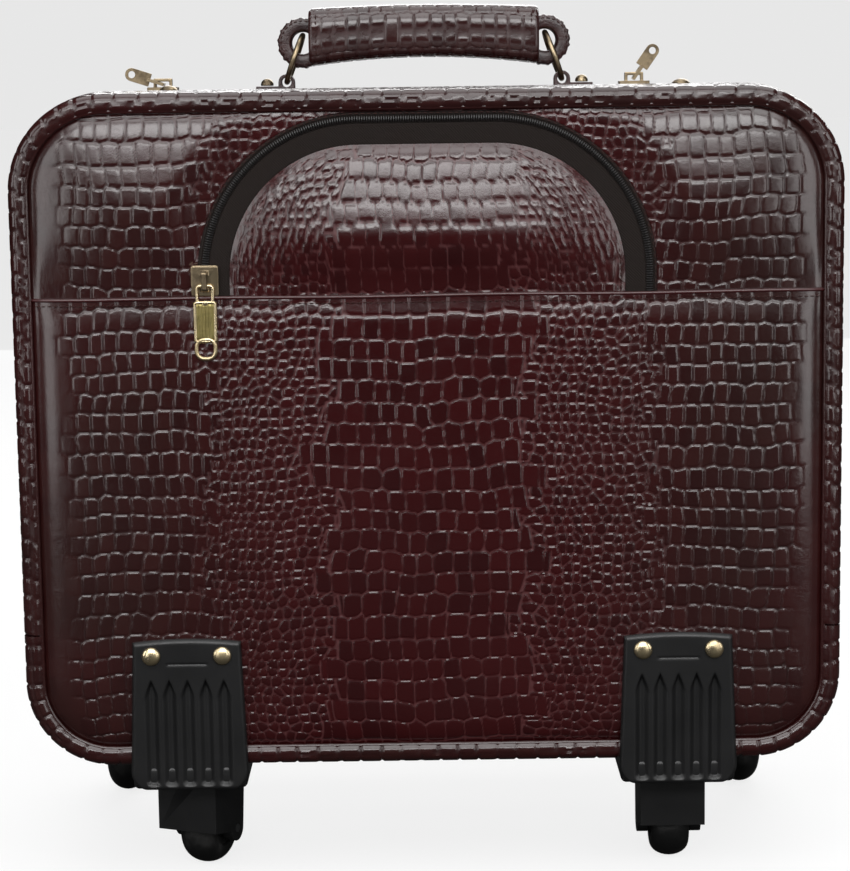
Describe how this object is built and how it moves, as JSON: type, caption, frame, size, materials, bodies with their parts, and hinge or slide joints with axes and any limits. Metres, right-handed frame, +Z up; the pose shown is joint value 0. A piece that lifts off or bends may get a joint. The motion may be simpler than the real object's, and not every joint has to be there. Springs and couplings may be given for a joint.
{
  "type": "rolling flight case",
  "caption": "Upright wheeled flight case in glossy reptile-embossed leather, with arched zip pocket, padded top handle, swivel front casters and telescopic pull handle.",
  "frame": {"origin": "on the ground under the middle of the whole case", "axes": "+X to the right seen from the front, +Y to the back, +Z up"},
  "size_m": [0.43, 0.231, 0.4705],
  "materials": {
    "croc_leather": "glossy reptile-embossed leather, oxblood, paler brown-grey at the flanks",
    "zip_cloth": "dark brown-black woven zip tape",
    "lining_cloth": "dark woven lining",
    "fibreboard": "covered fibreboard",
    "bright_brass": "polished pale brass",
    "antique_brass": "darkened antique brass",
    "black_plastic": "satin black moulded plastic",
    "wheel_rubber": "black rubber tread",
    "tube_aluminium": "anodised aluminium",
    "axle_steel": "plain steel"
  },
  "bodies": {
    "case": {"back_panel": "croc_leather", "rear_gusset": "croc_leather", "front_base": "croc_leather", "rear_piping": "croc_leather", "front_piping_lower": "croc_leather", "zip_tape_rear": "zip_cloth", "base_board": "fibreboard", "inner_back_wall": "lining_cloth", "laptop_divider": "lining_cloth", "chape_left": "croc_leather", "chape_right": "croc_leather", "chape_rivet_left": "antique_brass", "chape_rivet_right": "antique_brass", "handle_socket": "black_plastic", "trolley_outer_tube_left": "tube_aluminium", "trolley_outer_tube_right": "tube_aluminium", "guard_left": "black_plastic", "guard_right": "black_plastic", "guard_rivet_left_outer": "bright_brass", "guard_rivet_left_inner": "bright_brass", "guard_rivet_right_outer": "bright_brass", "guard_rivet_right_inner": "bright_brass", "rear_wheel_housing_left": "black_plastic", "rear_wheel_housing_right": "black_plastic", "rear_axle_left": "axle_steel", "rear_axle_right": "axle_steel"},
    "front_wall": {"front_rim": "croc_leather", "front_panel": "croc_leather", "front_piping_upper": "croc_leather", "zip_tape_front": "zip_cloth", "pocket_panel": "croc_leather", "pocket_zip_tape": "zip_cloth", "pocket_flap": "croc_leather", "top_stud_left": "antique_brass", "top_stud_right": "antique_brass"},
    "pocket_slider": {"pocket_slider": "antique_brass"},
    "pocket_pull": {"pocket_pull": "bright_brass"},
    "main_slider_left": {"main_slider_left": "antique_brass"},
    "main_slider_right": {"main_slider_right": "antique_brass"},
    "main_pull_left": {"main_pull_left": "antique_brass"},
    "main_pull_right": {"main_pull_right": "antique_brass"},
    "handle_ring_left": {"handle_ring_left": "antique_brass"},
    "handle_ring_right": {"handle_ring_right": "antique_brass"},
    "carry_handle": {"handle_strap": "croc_leather", "handle_grip": "croc_leather"},
    "trolley_lower": {"trolley_middle_tube_left": "tube_aluminium", "trolley_middle_tube_right": "tube_aluminium"},
    "trolley_upper": {"trolley_inner_tube_left": "tube_aluminium", "trolley_inner_tube_right": "tube_aluminium", "trolley_grip": "black_plastic"},
    "trolley_button": {"trolley_button": "black_plastic"},
    "caster_left": {"caster_fork_left": "black_plastic", "caster_axle_left": "axle_steel"},
    "caster_right": {"caster_fork_right": "black_plastic", "caster_axle_right": "axle_steel"},
    "caster_wheel_left": {"caster_wheel_left": "wheel_rubber"},
    "caster_wheel_right": {"caster_wheel_right": "wheel_rubber"},
    "rear_wheel_left": {"rear_wheel_left": "wheel_rubber"},
    "rear_wheel_right": {"rear_wheel_right": "wheel_rubber"}
  },
  "joints": [
    {"name": "front_wall_fold", "type": "hinge", "parent": "case", "child": "front_wall", "pos_m": [0, -0.10845, 0.14], "axis": [1, 0, 0], "range_deg": [0, 35]},
    {"name": "pocket_slider_slide", "type": "slide", "parent": "front_wall", "child": "pocket_slider", "axis": [0, 0, 1], "range_m": [0, 0.014]},
    {"name": "pocket_pull_swing", "type": "hinge", "parent": "pocket_slider", "child": "pocket_pull", "pos_m": [-0.115, -0.11075, 0.3237], "axis": [-1, 0, 0], "range_deg": [0, 160]},
    {"name": "main_slider_left_slide", "type": "slide", "parent": "case", "child": "main_slider_left", "axis": [1, 0, 0], "range_m": [-0.016, 0.1]},
    {"name": "main_slider_right_slide", "type": "slide", "parent": "case", "child": "main_slider_right", "axis": [1, 0, 0], "range_m": [-0.1, 0.04]},
    {"name": "main_pull_left_swing", "type": "hinge", "parent": "main_slider_left", "child": "main_pull_left", "pos_m": [-0.14, -0.04745, 0.427], "axis": [0, 1, 0], "range_deg": [0, 132]},
    {"name": "main_pull_right_swing", "type": "hinge", "parent": "main_slider_right", "child": "main_pull_right", "pos_m": [0.112, -0.04745, 0.427], "axis": [0, 1, 0], "range_deg": [-95, 25]},
    {"name": "ring_left_swing", "type": "hinge", "parent": "case", "child": "handle_ring_left", "pos_m": [-0.077, 0.01255, 0.4275], "axis": [0, 1, 0], "range_deg": [-15, 15], "stiffness_Nm_per_rad": 0.3},
    {"name": "ring_right_swing", "type": "hinge", "parent": "case", "child": "handle_ring_right", "pos_m": [0.077, 0.01255, 0.4275], "axis": [0, 1, 0], "range_deg": [-15, 15]},
    {"name": "handle_on_ring", "type": "hinge", "parent": "handle_ring_left", "child": "carry_handle", "pos_m": [-0.0675, 0.01255, 0.4532], "axis": [0, 1, 0], "range_deg": [-17.2, 17.2]},
    {"name": "trolley_lower_slide", "type": "slide", "parent": "case", "child": "trolley_lower", "axis": [0, 0, 1], "range_m": [0, 0.26]},
    {"name": "trolley_upper_slide", "type": "slide", "parent": "trolley_lower", "child": "trolley_upper", "axis": [0, 0, 1], "range_m": [0, 0.26]},
    {"name": "trolley_button_press", "type": "slide", "parent": "trolley_upper", "child": "trolley_button", "axis": [0, 0, -1], "range_m": [0, 0.003], "stiffness_N_per_m": 250},
    {"name": "caster_left_swivel", "type": "hinge", "parent": "case", "child": "caster_left", "pos_m": [-0.1295, -0.06945, 0.06], "axis": [0, 0, 1], "continuous": true},
    {"name": "caster_left_roll", "type": "hinge", "parent": "caster_left", "child": "caster_wheel_left", "pos_m": [-0.12501, -0.05832, 0.02], "axis": [0.9272, -0.3746, 0], "continuous": true},
    {"name": "caster_right_swivel", "type": "hinge", "parent": "case", "child": "caster_right", "pos_m": [0.1295, -0.06945, 0.06], "axis": [0, 0, 1], "continuous": true},
    {"name": "caster_right_roll", "type": "hinge", "parent": "caster_right", "child": "caster_wheel_right", "pos_m": [0.1295, -0.05745, 0.02], "axis": [1, 0, 0], "continuous": true},
    {"name": "rear_left_roll", "type": "hinge", "parent": "case", "child": "rear_wheel_left", "pos_m": [-0.187, 0.08555, 0.03], "axis": [1, 0, 0], "continuous": true},
    {"name": "rear_right_roll", "type": "hinge", "parent": "case", "child": "rear_wheel_right", "pos_m": [0.187, 0.08555, 0.03], "axis": [1, 0, 0], "continuous": true}
  ],
  "couplings": [
    {"joint": "ring_right_swing", "follows": "ring_left_swing", "ratio": 1},
    {"joint": "handle_on_ring", "follows": "ring_left_swing", "ratio": -1.1407}
  ]
}
